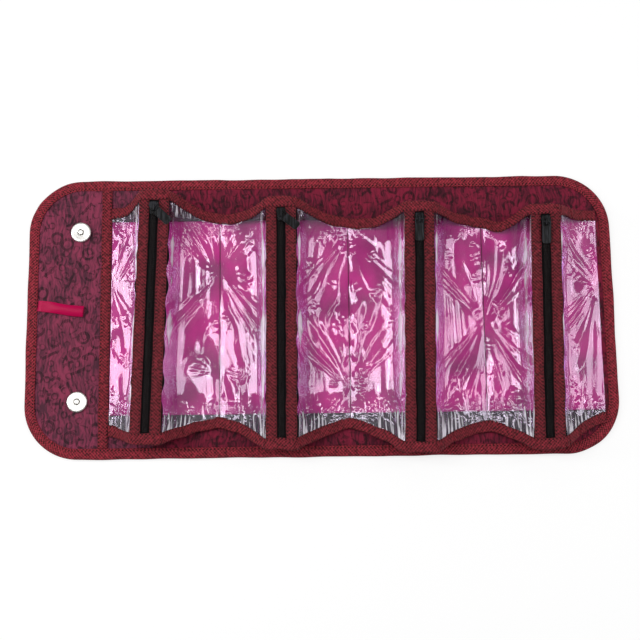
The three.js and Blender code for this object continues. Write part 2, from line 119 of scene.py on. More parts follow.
def linear(code):
    """A colour's linear red, green, blue and alpha from its sRGB hex code."""
    value = [int(code[i:i + 2], 16) / 255 for i in (1, 3, 5)]
    return [c / 12.92 if c <= 0.04045 else ((c + 0.055) / 1.055) ** 2.4 for c in value] + [1.0]


def length_property(name, description, default, low, high):
    """A size in metres that a user would change."""
    return FloatProperty(
        name=name, description=description, default=default, min=low, max=high, unit="LENGTH"
    )


def color_property(name, description, code):
    """A colour that a user would change, from its sRGB hex code."""
    return FloatVectorProperty(
        name=name, description=description, default=linear(code),
        subtype="COLOR", size=4, min=0, max=1,
    )


class OrganizerSizes(bpy.types.PropertyGroup):
    """Sizes that a user would change."""

    stitch_length: length_property(
        "Stitch length", "From one stitch to the next", 0.0034, 0.001, 0.01
    )
    thread_radius: length_property(
        "Thread radius", "Half the sewing thread's thickness", 0.0003, 0.0001, 0.001
    )
    coil_pitch: length_property(
        "Coil pitch", "From one turn of the zip's coil to the next", 0.0016, 0.001, 0.004
    )
    crease_height: length_property(
        "Crease height", "Height of the creases in the clear film", 0.0007, 0.0, 0.003
    )
    cloth_wave: length_property(
        "Cloth wave", "Height of the slow waves in the mat", 0.0003, 0.0, 0.001
    )


class OrganizerColors(bpy.types.PropertyGroup):
    """Colours that a user would change."""

    ground: color_property("Printed cloth", "Ground of the printed cloth", "#8c3450")
    motif: color_property("Print", "Darker motifs on the printed cloth", "#4d2434")
    binding: color_property("Binding", "Woven binding, rims and facing tapes", "#84222f")
    lining: color_property("Lining", "Coated lining on the pocket floors", "#dc1e9a")
    ribbon: color_property("Ribbon", "Satin of the hanging loop", "#c2004e")


# Shapes


def wobble(x, y, size, seed):
    """Soft noise, mostly from -1 to 1: the sum of seven sine waves across the plane, made
    smaller by 2.6. Their directions, phases and lengths near size are drawn from the seed."""
    rng = np.random.default_rng(seed)
    turn, phase = rng.uniform(0, 2 * np.pi, (2, 7))
    scale = size * rng.uniform(0.65, 1.5, 7)
    waves = [
        np.sin(2 * np.pi * (x * np.cos(t) + y * np.sin(t)) / s + p)
        for t, p, s in zip(turn, phase, scale)
    ]
    return sum(waves) / 2.6


def ease(x):
    """From 0 to 1 along a smooth S, flat outside that span."""
    x = np.clip(x, 0, 1)
    return x * x * (3 - 2 * x)


def mix(a, b, t):
    """The value t of the way from a to b."""
    return a + (b - a) * t


def points_of(*parts):
    """Arrays that broadcast together, as one array of points."""
    return np.stack(np.broadcast_arrays(*parts), axis=-1).astype(float)


def unit(vectors):
    """Vectors drawn out or in to length 1."""
    return vectors / np.linalg.norm(vectors, axis=-1, keepdims=True)


def length_along(line):
    """The length of a line from its first point to each of its points."""
    return np.append(0, np.cumsum(np.linalg.norm(np.diff(line, axis=0), axis=1)))


def normals_of(points, toward=(0, 0, 1)):
    """Unit normals of a grid of points, on the side that faces a direction: the cross
    product of its two slopes."""
    normal = np.cross(np.gradient(points, axis=1), np.gradient(points, axis=0))
    normal *= np.sign((normal @ np.array(toward, float)).mean())
    return unit(normal)


def skin(points, thickness, toward=(0, 0, 1)):
    """A sheet's rings: the face on the side of a direction, half a thickness out along the
    normals, and the other one run back, so that each row of the grid becomes a closed ring."""
    out = normals_of(points, toward) * thickness / 2
    return np.concatenate([points + out, (points - out)[:, ::-1]], axis=1)


def add_surface(name, rings, materials, uv=None, second_from=None):
    """A closed body from rows of closed rings, with a face across each end ring. The quad
    between rings r and r+1 at place c has corners (r,c), (r,c+1), (r+1,c+1), (r+1,c). The
    faces are turned round if the signed volume of the body is negative. uv holds one place
    in millimetres per point, and ring places from second_from on take the second material."""
    rows, columns = rings.shape[:2]
    index = np.arange(rows * columns).reshape(rows, columns)
    across = np.roll(index, -1, axis=1)
    quads = np.stack([index[:-1], across[:-1], across[1:], index[1:]], axis=-1).reshape(-1, 4)
    flat = rings.reshape(-1, 3) * MM
    a, b, c, d = (flat[quads[:, i]] for i in range(4))
    volume = (a * np.cross(b, c)).sum() + (a * np.cross(c, d)).sum()
    ends = [index[0][::-1], index[-1]]
    if volume < 0:
        quads, ends = quads[:, ::-1], [end[::-1] for end in ends]
    mesh = bpy.data.meshes.new(name)
    mesh.from_pydata(flat.tolist(), [], quads.tolist() + [end.tolist() for end in ends])
    for material in materials:
        mesh.materials.append(material)
    if second_from is not None:
        place = np.tile(np.arange(columns), rows - 1)
        choice = np.append((place >= second_from).astype(np.int32), [0, 0]).astype(np.int32)
        mesh.polygons.foreach_set("material_index", choice)
    if uv is not None:
        corners = np.concatenate([quads.ravel(), *ends])
        layer = mesh.uv_layers.new(name="Cloth")
        shown = uv.reshape(-1, 2)[corners] * MM
        layer.data.foreach_set("uv", shown.astype(np.float32).ravel())
    mesh.polygons.foreach_set("use_smooth", np.arange(len(mesh.polygons)) < len(quads))
    mesh.update()
    piece = bpy.data.objects.new(name, mesh)
    bpy.context.collection.objects.link(piece)
    return piece


def place(piece, bodies, nodes, slot, fold=None):
    """Ties a piece to its CAD body, or leaves a piece over two bodies unparented with its
    transform baked in, and hides the nodes that it stands for. The slot and the fold are not used."""
    if len(bodies) == 1:
        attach(piece, bodies[0])
    else:
        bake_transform(piece)
    if nodes:
        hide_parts(*nodes)


def band(line, across, up, width, thickness, sides=20, ripple=0.15, seed=1, squareness=0.4, pleats=()):
    """A woven band along a line: rings of a rounded oblong, the sign-preserving power of a
    circle's cosine and sine, laid on the directions across and up. Its height and width vary
    a little with soft noise, and at each pleat, a length along the line, a slanting groove
    1 mm deep crosses it. Gives the rings and, per point, the length along and across."""
    across, up = (np.broadcast_to(way, line.shape) for way in (across, up))
    angle = np.linspace(0, 2 * np.pi, sides, endpoint=False)
    c = np.sign(np.cos(angle)) * np.abs(np.cos(angle)) ** squareness
    s = np.sign(np.sin(angle)) * np.abs(np.sin(angle)) ** (squareness + 0.3)
    length = length_along(line)[:, None]
    wide = width / 2 * (1 + 0.05 * wobble(length, 0, 26, seed)) * c
    upper = s > -0.3
    high = thickness / 2 * s + ripple * wobble(length, wide, 11, seed + 1) * upper
    for number, pleat in enumerate(pleats):
        off = length - pleat + (0.25 if number % 2 else -0.2) * wide
        swell, groove = 0.5 * np.exp(-((off - 1.7) / 1.2) ** 2), np.exp(-(off / 0.8) ** 2)
        high = high + (swell - groove) * upper
    rings = line[:, None] + across[:, None] * wide[..., None] + up[:, None] * high[..., None]
    return rings, points_of(length, wide)


def halfway(x):
    """Half the mat's width at each X: straight sides, and quarter circles at the corners."""
    past = np.clip(np.abs(x) - (MAT_LENGTH / 2 - CORNER_RADIUS), 0, CORNER_RADIUS)
    return MAT_WIDTH / 2 - CORNER_RADIUS + np.sqrt(CORNER_RADIUS ** 2 - past ** 2)


def rim_out(side, k, half, along):
    """How far out from the sewn line a rim's middle lies, from its seam to its zip. It grows
    as a power of the way along. A far rim that climbs to its zip from the left does so late,
    by the power 3, and sags on the way as a V with its tip at SAG_PLACE."""
    sags = side > 0 and half < 0
    seam = SEAM_OUT[side][k if half < 0 else k + 1]
    out = mix(seam, RIDGE_OUT[side][k], along ** (3.0 if sags else 1.5))
    return out - sags * FAR_SAGS[k] * np.clip(1 - np.abs(along / SAG_PLACE - 1), 0, 1)


def rim_line():
    """The rims' middle lines along the whole mat, far and near, as X, how far out from the
    sewn line, and height, which grows as the power 2.2 of the way from seam to zip. Over the
    zip the line runs level. It is then smoothed with a bell of 2.4 mm, which rounds its
    bends as the cloth does."""
    step, spread, reach = 0.6, 2.4, 16
    lines = {}
    for side in (1, -1):
        x, out, z = [], [], []
        for k in POCKETS:
            for half, seam in ((-1, k), (1, k + 1)):
                along = np.linspace(0, 1, 60)[::-half]
                x.append(mix(SEAMS[seam], ZIP_X[side][k] + half * RIM_LEVEL, along))
                out.append(rim_out(side, k, half, along))
                z.append(mix(RIM_BASE, ZIP_Z[side][k] - RIM_DROP, along ** 2.2))
        x, out, z = (np.concatenate(part) for part in (x, out, z))
        even = np.arange(SEAMS[0], SEAMS[-1], step)
        bell = np.exp(-0.5 * (np.arange(-reach, reach + 1) * step / spread) ** 2)
        bell /= bell.sum()
        smooth = [
            np.convolve(np.pad(np.interp(even, x, value), reach, mode="edge"), bell, mode="valid")
            for value in (out, z)
        ]
        lines[side] = np.stack([even, *smooth])
    return lines


RIM_LINES = rim_line()


def span_bodies(index):
    """The CAD bodies under the stretch of mat from ridge index to the next one: the first
    stretch, from the strip, and the last, to the free end, lie on one body each."""
    if index == 0:
        return ["pocket_1"]
    if index == 4:
        return ["pocket_4"]
    return [f"pocket_{index}", f"pocket_{index + 1}"]


def film_half(k, half):
    """One clear film from its seam to its zip. A row is a line across the film, at the share
    v of the way from the near rim to the far one, and a column is at the share u of the way
    from the seam to the zip. The height grows as a power of u: 9 in the middle of the film,
    which lies flat and climbs steeply at the zip, down to the rim's own 2.2 at its ends."""
    rows, columns = 190, 60
    seam = SEAMS[k] if half < 0 else SEAMS[k + 1]
    t = np.linspace(0, 1, columns)[None, :]
    u = 1 - (1 - t) ** 1.6
    even = np.linspace(0, 1, rows)[:, None]
    v = (1 - np.cos(np.pi * even)) / 2 * 0.35 + even * 0.65
    middle = np.abs(2 * v - 1)
    power = mix(9.0, 2.2, middle ** 3)
    seam_z = mix(FILM_BASE, RIM_BASE + 0.5, middle ** 8)
    edge_x = mix(ZIP_X[-1][k], ZIP_X[1][k], v) + half * FILM_OUT
    edge_z = mix(ZIP_Z[-1][k], ZIP_Z[1][k], v) + FILM_UP
    ends = {}
    for side in (1, -1):
        ends[side] = side * (ROOT[side] + rim_out(side, k, half, u) - RIM_WIDTH / 2 + FILM_TUCK)
    y = mix(ends[-1], ends[1], v)
    x = mix(seam, edge_x, u)
    z = mix(seam_z, edge_z, u ** power)
    return points_of(x, y, z)


def folds(phase):
    """A wave from 0 to 1 with straight flanks and rounded tops, as creased film folds: the
    arcsine of a slightly shrunken sine."""
    return 0.5 + np.arcsin(0.97 * np.sin(phase)) / (2 * math.asin(0.97))


def film_creases(x, y, seam, pinches, seed, height):
    """How far a film stands off its smooth shape, always upwards. Long folds run along Y,
    13 mm apart, bent and faded by soft noise. From each stitch that pulls the film down,
    straight folds spread up and down the pocket: they are evenly spaced in the slope of the
    line from the stitch and grow as they spread. Small folds that cross fill some patches,
    and close ones run along Y at the film's ends. Slow swells lie under all of it, and at
    the seam the film is held down."""
    bend = wobble(x, y * 0.22, 60, seed)
    strength = ease(0.55 + 0.8 * wobble(x, y * 0.3, 40, seed + 1))
    long = folds(2 * np.pi * (x / 13 + 0.5 * bend)) * strength
    near_pinch, fan = 0 * x, 0 * x
    for number, pinch in enumerate(pinches):
        along = np.hypot(y - pinch, 6)
        slope = (x - seam) / along + 0.04 * wobble(x, y, 45, seed + 4 + number)
        share = np.exp(-(along / 68) ** 2) * ease(1.7 - np.abs(slope))
        uneven = 0.5 + 0.5 * wobble(slope * 90, np.sign(y - pinch) * 40 + 0 * x, 31, seed + 12)
        rays = (0.6 * folds(2 * np.pi * slope / 0.34) + 0.4 * folds(2 * np.pi * slope / 0.15)) * uneven
        fan = fan + share * rays * np.minimum(along - 3, 60) * 0.1
        near_pinch = np.maximum(near_pinch, share)
    patch = ease(-0.35 + 1.15 * wobble(x, y, 30, seed + 3))
    small = folds(2 * np.pi * (x / 7 + y / 10 + 0.6 * wobble(x, y, 17, seed + 7)))
    cross = folds(2 * np.pi * (y / 9 - x / 15 + 0.7 * wobble(x, y, 19, seed + 8)))
    end = ease((np.abs(y + 2) - 66) / 18)
    close = folds(2 * np.pi * (x / 4.4 + 0.5 * wobble(x, y * 0.4, 20, seed + 6)))
    shreds = folds(2 * np.pi * (y / 5 + x / 8 + 0.8 * wobble(x, y, 12, seed + 5)))
    swell = 0.5 + 0.5 * wobble(x, y * 0.7, 52, seed + 9)
    total = 1.7 * long * (1 - 0.85 * near_pinch) + fan + patch * (0.5 * small + 0.5 * cross)
    total = total + end * (2.0 * close + 0.7 * shreds) + 1.2 * swell
    held = ease(np.abs(x - seam) / (5 + 3 * wobble(x, y, 28, seed + 10)).clip(2.5))
    return height * total * held


# Materials


COLORS = {"out": 2, "data_type": "RGBA"}  # A Mix node between two colours, inputs 6 and 7


def connect(tree, node, inputs):
    """Gives each input, in order or by its key in a dictionary, its value or its link."""
    for key, value in inputs.items() if isinstance(inputs, dict) else enumerate(inputs):
        if isinstance(value, bpy.types.NodeSocket):
            tree.links.new(value, node.inputs[key])
        else:
            node.inputs[key].default_value = value


def add_node(tree, kind, inputs=(), out=0, **settings):
    """Adds one node with its settings and links, and gives the output that out names, or a
    list of them. A second word in kind is the node's operation."""
    kind, _, operation = kind.partition(" ")
    made = tree.nodes.new("ShaderNode" + kind)
    if operation:
        settings["operation"] = operation
    for key, value in settings.items():
        setattr(made, key, value)
    connect(tree, made, inputs)
    return [made.outputs[key] for key in out] if isinstance(out, tuple) else made.outputs[out]


def new_material(name):
    """A material with one Principled shader, and add_node for its tree."""
    material = bpy.data.materials.new(name)
    material.use_nodes = True
    return material, partial(add_node, material.node_tree)


def finished(material, color, roughness, specular=0.5, metallic=0.0, bump=None):
    """Gives the Principled shader its look. The bump is a height, a strength and a distance
    in metres."""
    tree = material.node_tree
    values = {"Roughness": roughness, "Specular IOR Level": specular, "Metallic": metallic}
    if bump:
        values["Normal"] = add_node(tree, "Bump", dict(zip(("Height", "Strength", "Distance"), bump)))
    connect(tree, tree.nodes["Principled BSDF"], {"Base Color": color, **values})
    return material


def tinted(color, factor=1.0):
    """A colour times one factor, or one for each of red, green and blue, held to full."""
    return [*np.minimum(np.array(color[:3]) * factor, 1).tolist(), 1.0]


def shared(make, name, *values):
    """The material of that name, made when it is first asked for."""
    return bpy.data.materials.get(name) or make(name, *values)


def motifs(node, cloth, cell, turn):
    """Mask of a scattered pattern: in each cell of a loose grid lies one ring, arc, bar or
    cross, turned at random. The cell's own random colour picks the shape and the turn."""
    scaled = node("Mapping", {"Vector": cloth, "Scale": (1 / cell,) * 3, "Rotation": (0, 0, turn)})
    grid = {"Vector": scaled, "Scale": 1.0, "Randomness": 0.45}
    color, middle = node("TexVoronoi", grid, ("Color", "Position"), voronoi_dimensions="2D")
    spin, pick = node("SeparateColor", [color], (0, 1))
    local = node("VectorMath SUBTRACT", [scaled, middle])
    angle = node("Math MULTIPLY", [spin, 6.28])
    turned = node("VectorRotate", {"Vector": local, "Angle": angle}, rotation_type="Z_AXIS")
    x, y = node("SeparateXYZ", [turned], (0, 1))
    away = node("VectorMath LENGTH", [turned], "Value")
    ring = node("Math COMPARE", [away, 0.29, 0.07])
    arc = node("Math MULTIPLY", [ring, node("Math GREATER_THAN", [x, -0.08])])
    bars = []
    for half_x, half_y in ((0.075, 0.42), (0.28, 0.07)):
        inside = [node("Math COMPARE", [x, 0.0, half_x]), node("Math COMPARE", [y, 0.0, half_y])]
        bars.append(node("Math MULTIPLY", inside))
    shape = node("Math MAXIMUM", bars)
    for share, other in ((0.8, bars[0]), (0.55, arc), (0.28, ring)):
        shape = node("Mix", {0: node("Math LESS_THAN", [pick, share]), 2: shape, 3: other})
    return shape


def printed_polyester(name, colors, painted_light):
    """Printed polyester satin, plain woven: tone-on-tone motifs 8 to 16 mm across on burgundy.
    Its 0.4 mm threads are drawn as 0.9 mm grain, the finest that shows, with a soft sheen.
    A factor darkens and deepens both colours as painted light: the flap keeps them full as a
    painted sheen, and the rest of the mat takes them darker as painted shade."""
    material, node = new_material(name)
    # The factor darkens and deepens both colours as painted light
    base, dark = tinted(colors.ground, painted_light), tinted(colors.motif, painted_light)
    cloth = node("UVMap", uv_map="Cloth")
    ragged = node("TexNoise", {"Vector": cloth, "Scale": 90.0, "Detail": 1.0}, "Color")
    bent = node("VectorMath MULTIPLY_ADD", [ragged, (0.0012,) * 3, cloth])
    small = node("Math MULTIPLY", [motifs(node, bent, 0.0092, 1.1), 0.8])
    mask = node("Math MAXIMUM", [motifs(node, bent, 0.0165, 0.5), small])
    swirl = node("TexNoise", {"Vector": cloth, "Scale": 55.0, "Detail": 2.0}, "Color")
    pushed = node("VectorMath MULTIPLY_ADD", [swirl, (0.011,) * 3, cloth])
    drawn = node("Mapping", {"Vector": pushed, "Scale": (1.0, 0.14, 1.0)})
    streak = node("TexNoise", {"Vector": drawn, "Scale": 520.0, "Detail": 2.0})
    patch = node("TexNoise", {"Vector": cloth, "Scale": 42.0, "Detail": 2.0})
    tone = node("Math MULTIPLY_ADD", [streak, 0.75, node("Math MULTIPLY", [patch, 0.5])])
    ground = node("Mix", {0: node("MapRange", [tone, 0.5, 0.75]), 6: dark, 7: base}, **COLORS)
    worn = node("Math MULTIPLY", [mask, node("MapRange", [streak, 0.35, 0.65, 1.0, 0.35])])
    color = node("Mix", {0: worn, 6: ground, 7: tinted(dark, 0.4)}, **COLORS)
    grain = node("TexNoise", {"Vector": cloth, "Scale": 1100.0, "Detail": 1.0})
    return finished(material, color, 0.8, 0.25, bump=(grain, 0.25, 0.0003))


def woven_tape(name, color, stitch_rows, shaded_edges):
    """Woven polyester tape: slanting ribs of 0.8 mm, drawn 2.8 mm apart so that they show,
    in the piece's own UV map, with rows of stitches pulled into it where stitch_rows say.
    Its two long edges can be darkened as painted shade."""
    material, node = new_material(name)
    cloth = node("UVMap", uv_map="Cloth")
    along, across = node("SeparateXYZ", [cloth], (0, 1))
    ribs = []
    for lean, apart in ((0.9, 0.0028), (-1.1, 0.00308)):
        slant = node("Math MULTIPLY_ADD", [across, lean, along])
        ribs.append(node("Math SINE", [node("Math MULTIPLY", [slant, 2 * math.pi / apart])]))
    height = node("Math MULTIPLY_ADD", [ribs[1], 0.5, ribs[0]])
    uneven = node("TexNoise", {"Vector": cloth, "Scale": 340.0, "Detail": 3.0})
    tone = node("MapRange", [node("Math MULTIPLY_ADD", [height, 0.125, uneven]), 0.28, 0.76])
    base = node("Mix", {0: tone, 6: tinted(color, 0.2), 7: tinted(color, 1.8)}, **COLORS)
    layers = []
    # The long edges are darkened as painted shade
    if shaded_edges:
        from_middle = node("Math ABSOLUTE", [across])
        layers.append((node("MapRange", [from_middle, 0.0036, 0.0047, 0.0, 0.5]), 0.25))
    if stitch_rows:
        near = 0.0
        for row in stitch_rows:
            near = node("Math MAXIMUM", [node("Math COMPARE", [across, row * MM, 0.0005]), near])
        beat = node("Math FRACT", [node("Math MULTIPLY", [along, 1 / 0.0032])])
        dash = node("Math MULTIPLY", [near, node("Math LESS_THAN", [beat, 0.5])])
        # Each row is darkened as painted shade in the groove that its stitches pull; the stitches themselves
        # are lighter thread
        layers += [(near, 0.12), (dash, 1.25)]
        height = node("Math MULTIPLY_ADD", [near, -1.5, height])
    for mask, factor in layers:
        base = node("Mix", {0: mask, 6: base, 7: tinted(color, factor)}, **COLORS)
    return finished(material, base, 0.8, 0.3, bump=(height, 0.6, 0.00025))


def coated_nylon(name, color):
    """Nylon taffeta with a smooth coating: an even, slightly glossy magenta, with soft darker and
    deeper patches painted as the light and shade that the creased film above casts on it."""
    material, node = new_material(name)
    spot = node("TexCoord", out="Object")
    drift = node("TexNoise", {"Vector": spot, "Scale": 26.0, "Detail": 3.0})
    # Soft patches are painted darker and deeper as the light and shade that the creased film casts
    painted_caustics = node("MapRange", [drift, 0.36, 0.62])
    deep = tinted(color, (0.52, 0.3, 0.55))
    fold = node("TexNoise", {"Vector": spot, "Scale": 60.0, "Detail": 2.0})
    shade = node("Mix", {0: painted_caustics, 6: deep, 7: tinted(color)}, **COLORS)
    return finished(material, shade, 0.55, 0.15, bump=(fold, 0.3, 0.001))


def clear_vinyl(name):
    """Clear PVC film 0.3 mm thick, calendered: water-clear, glossy and creased, so that it
    is seen by its reflections. A thin film does not bend what is behind it. The face towards
    the light reflects for both of the film's faces, and its other face lets light pass. It is
    bent double into its hem. A flat white is painted over it as light: a painted reflection
    in streaks left of each zip, stronger where the film is seen at a slant, a painted
    highlight along the hem on both sides as a white line that swells and fades, painted
    glints in white streaks at its sewn corners, and everywhere else a thin painted veil of
    reflection. The UV map's first value is the distance to the zip's tape, below 0 on its
    right."""
    material, node = new_material(name)
    spot, cloth = node("TexCoord", out="Object"), node("UVMap", uv_map="Cloth")
    stretched = node("Mapping", {"Vector": spot, "Scale": (1.0, 0.4, 1.0)})
    crumpling = {"Vector": stretched, "Scale": 120.0, "Detail": 2.0, "Distortion": 0.6}
    bump = node("Bump", {"Height": node("TexNoise", crumpling), "Strength": 0.1, "Distance": 0.0012})
    gloss = node("BsdfGlossy", {"Color": (0.92, 0.79, 1.0, 1), "Roughness": 0.09, "Normal": bump})
    clear = node("BsdfTransparent", [(0.98, 0.97, 0.975, 1)])
    fresnel = node("Math MULTIPLY", [node("Fresnel", {"IOR": 1.54, "Normal": bump}), 2.38])
    front = node("Math SUBTRACT", [1.0, node("NewGeometry", out="Backfacing")])
    mirror = node("Math MULTIPLY", [node("Math MINIMUM", [fresnel, 1.0]), front])
    film = node("MixShader", [mirror, clear, gloss])

    # Painted light from here on: white reflections and highlight lines painted along the zips' hems
    hem, row = node("SeparateXYZ", [cloth], (0, 1))
    drawn = node("Mapping", {"Vector": cloth, "Scale": (520.0, 22.0, 1.0)})
    streak = node("TexNoise", {"Vector": drawn, "Scale": 1.0, "Detail": 2.0})
    wave = node("TexNoise", {"Vector": cloth, "Scale": 30.0, "Detail": 1.0})
    # Streaks of painted reflection left of each zip
    wall_reflection = node("MapRange", [streak, 0.44, 0.58, 0.0, 0.5])
    edge = node("Math MULTIPLY_ADD", [wave, -0.008, hem])
    wide = node("MapRange", [edge, 0.0015, 0.0035, 1.0, 0.0])
    left = node("Math MULTIPLY", [wide, node("Math GREATER_THAN", [hem, 0.0])])
    hem_reflections = node("Math MULTIPLY", [wall_reflection, left])
    # Painted highlight lines that swell and fade along the hem on both sides
    beam = node("MapRange", [wave, 0.43, 0.63, 0.0, 0.0018])
    for from_tape in (-0.0034, 0.003):
        gap = node("Math ABSOLUTE", [node("Math ADD", [hem, from_tape])])
        line = node("MapRange", [node("Math SUBTRACT", [beam, gap]), 0.0, 0.0007])
        hem_reflections = node("Math MAXIMUM", [hem_reflections, line])
    # The painted reflection grows where the film is seen at a slant
    facing = node("LayerWeight", {"Blend": 0.5}, "Facing")
    slant_gain = node("MapRange", [facing, 0.38, 0.85, 0.08, 1.0])

    # A thin painted veil of reflection over the whole film
    veil_pattern = node("TexNoise", {"Vector": stretched, "Scale": 45.0, "Detail": 3.0, "Distortion": 1.2})
    reflection_veil = node("MapRange", [veil_pattern, 0.4, 0.62, 0.0, 0.03])
    # White streaks at the sewn corners near the zips are painted glints
    sewn = node("MapRange", [node("Math ABSOLUTE", [row]), 0.085, 0.091])
    glint_streaks = node("MapRange", [streak, 0.52, 0.62, 0.0, 0.8])
    corner = node("MapRange", [node("Math ABSOLUTE", [hem]), 0.01, 0.042, 1.0, 0.2])
    corner_glints = node("Math MULTIPLY", [node("Math MULTIPLY", [sewn, glint_streaks]), corner])
    painted_white_share = node("Math MAXIMUM", [node("Math MULTIPLY", [slant_gain, hem_reflections]), reflection_veil])
    painted_white_share = node("Math MAXIMUM", [painted_white_share, corner_glints])
    # A flat white that carries all the painted light
    painted_white = node("BsdfDiffuse", {"Color": linear("#f3eff6"), "Roughness": 0.5})
    tree = material.node_tree
    tree.nodes.remove(tree.nodes["Principled BSDF"])
    connect(tree, tree.nodes["Material Output"], [node("MixShader", [painted_white_share, film, painted_white])])
    return material


def dark_coating(name):
    """The gussets' inner side: PVC-coated cloth, charcoal with a blue cast, crumpled into
    small facets that glint."""
    material, node = new_material(name)
    spot = node("TexCoord", out="Object")
    crumple = node("TexNoise", {"Vector": spot, "Scale": 150.0, "Detail": 3.0, "Distortion": 1.6})
    color = node("Mix", {0: crumple, 6: linear("#04060a"), 7: linear("#222b35")}, **COLORS)
    return finished(material, color, 0.2, 0.9, bump=(crumple, 1.0, 0.004))


def dyed_nylon(name, code, roughness, grain, gloss=0.2):
    """Dyed nylon, moulded coil, woven tape or sewing thread: deep and slightly glossy, with
    grain of the given size in metres."""
    material, node = new_material(name)
    spot = node("TexCoord", out="Object")
    threads = node("TexNoise", {"Vector": spot, "Scale": 1 / grain, "Detail": 1.0})
    lighter = tinted(linear(code), 2.4)
    color = node("Mix", {0: threads, 6: linear(code), 7: lighter}, **COLORS)
    return finished(material, color, roughness, gloss, bump=(threads, 0.4, 0.0002))


def black_enamel(name):
    """Zinc casting under baked black enamel: deep black, with pale streaks along the zip
    where the casting's ribs catch the light, drawn 1.4 mm apart so that they show."""
    material, node = new_material(name)
    spot = node("TexCoord", out="Object")
    drawn = node("Mapping", {"Vector": spot, "Scale": (700.0, 90.0, 300.0)})
    ribs = node("TexNoise", {"Vector": drawn, "Scale": 1.0, "Detail": 1.0})
    lit = node("MapRange", [ribs, 0.46, 0.66])
    color = node("Mix", {0: lit, 6: linear("#030304"), 7: linear("#29292e")}, **COLORS)
    return finished(material, color, 0.34, 0.15, bump=(ribs, 0.6, 0.0005))


def nickel_plate(name):
    """Satin nickel-plated pressed steel: pale, with faint turning marks, and darkened as painted
    shade in the groove between the stud and the cap. The UV map holds the radius."""
    material, node = new_material(name)
    spot = node("TexCoord", out="Object")
    marks = node("TexNoise", {"Vector": spot, "Scale": 700.0, "Detail": 3.0})
    rough = node("MapRange", [marks, 0.3, 0.7, 0.4, 0.52])
    radius = node("SeparateXYZ", [node("UVMap", uv_map="Cloth")])
    off = node("Math ABSOLUTE", [node("Math SUBTRACT", [radius, 0.00245])])
    # The groove between the stud and the cap is darkened as painted shade
    groove_shade = node("MapRange", [off, 0.00045, 0.00015])
    color = node("Mix", {0: groove_shade, 6: linear("#f2f0ec"), 7: linear("#6e6a68")}, **COLORS)
    return finished(material, color, rough, metallic=1.0)


def satin_ribbon(name, color):
    """Polyester satin ribbon: long floats give it a streaked gloss across its width."""
    material, node = new_material(name)
    cloth = node("UVMap", uv_map="Cloth")
    drawn = node("Mapping", {"Vector": cloth, "Scale": (60.0, 1400.0, 1.0)})
    streak = node("TexNoise", {"Vector": drawn, "Scale": 1.0, "Detail": 2.0})
    deep = tinted(color, (0.6, 0.3, 0.55))
    shade = node("Mix", {0: streak, 6: deep, 7: tinted(color)}, **COLORS)
    return finished(material, shade, 0.4, 0.12, bump=(streak, 0.3, 0.0002))


def printed(context, worn=False):
    """The print of the flap, kept paler as painted sheen, or of the rest of the mat, darkened as painted
    shade.
    """
    # The flap keeps full colours as painted sheen; the rest of the mat is darker and deeper as painted shade
    # between the rims and the binding
    name, painted_light = ("printed_satin_worn", (1, 1, 1)) if worn else ("printed_satin", (0.86, 0.25, 0.44))
    return shared(printed_polyester, name, context.scene.organizer_colors, painted_light)


def taped(context, name, rows, shade=1.0, shaded_edges=True):
    """The tape of that name. Its colour is the binding's, times the shade."""
    # By default the tape's long edges are darkened as painted shade
    return shared(woven_tape, name, tinted(context.scene.organizer_colors.binding, shade), rows, shaded_edges)


# Pieces


class OrganizerMat(bpy.types.Operator):
    """Padded printed mat, in four stretches that meet under the ridges, each across one fold"""

    bl_idname = "organizer.mat"
    bl_label = "Mat"

    # The cloth's edge inside the binding, its heights there, how far its middle swells up
    # and sinks down from them, and the distance of its points along the mat
    INSET, EDGE_TOP, EDGE_BOTTOM = 1.2, 3.1, 0.6
    SWELL, SINK, STEP = 0.62, 0.3, 2.2

    def execute(self, context):
        wave = context.scene.organizer_sizes.cloth_wave * 1000
        cuts = (-MAT_LENGTH / 2 + 1.0, *RIDGES[:3], MAT_LENGTH / 2 - 1.0)
        stretches = (
            ("mat_flap", FLAP_FOLD, ("flap", "pocket_1"), ["flap_panel"]),
            ("mat_12", FOLDS[0], ("pocket_1", "pocket_2"), ["back_panel_1"]),
            ("mat_23", FOLDS[1], ("pocket_2", "pocket_3"), ["back_panel_2"]),
            ("mat_34", FOLDS[2], ("pocket_3", "pocket_4"), ["back_panel_3", "back_panel_4"]),
        )
        for index, (name, fold, bodies, nodes) in enumerate(stretches):
            # Across the mat the points crowd towards its edges as a sine, and the padding
            # falls off there as a power of 40
            start, end = cuts[index:index + 2]
            x = np.linspace(start, end, int((end - start) / self.STEP))[:, None]
            share = np.sin(np.linspace(-np.pi / 2, np.pi / 2, 90))[None, :]
            y = share * (halfway(x) - self.INSET)
            inside = 1 - np.abs(share) ** 40
            top = self.EDGE_TOP + self.SWELL * inside + wave * wobble(x, y, 34, 5) * inside
            bottom = self.EDGE_BOTTOM - self.SINK * inside
            rings = np.concatenate([points_of(x, y, top), points_of(x, y, bottom)[:, ::-1]], axis=1)
            # The flap's stretch takes the print with painted sheen, the others the print with painted shade
            piece = add_surface(name, rings, [printed(context, worn=index == 0)], rings[..., :2])
            place(piece, bodies, nodes, "print", fold)
        return {"FINISHED"}


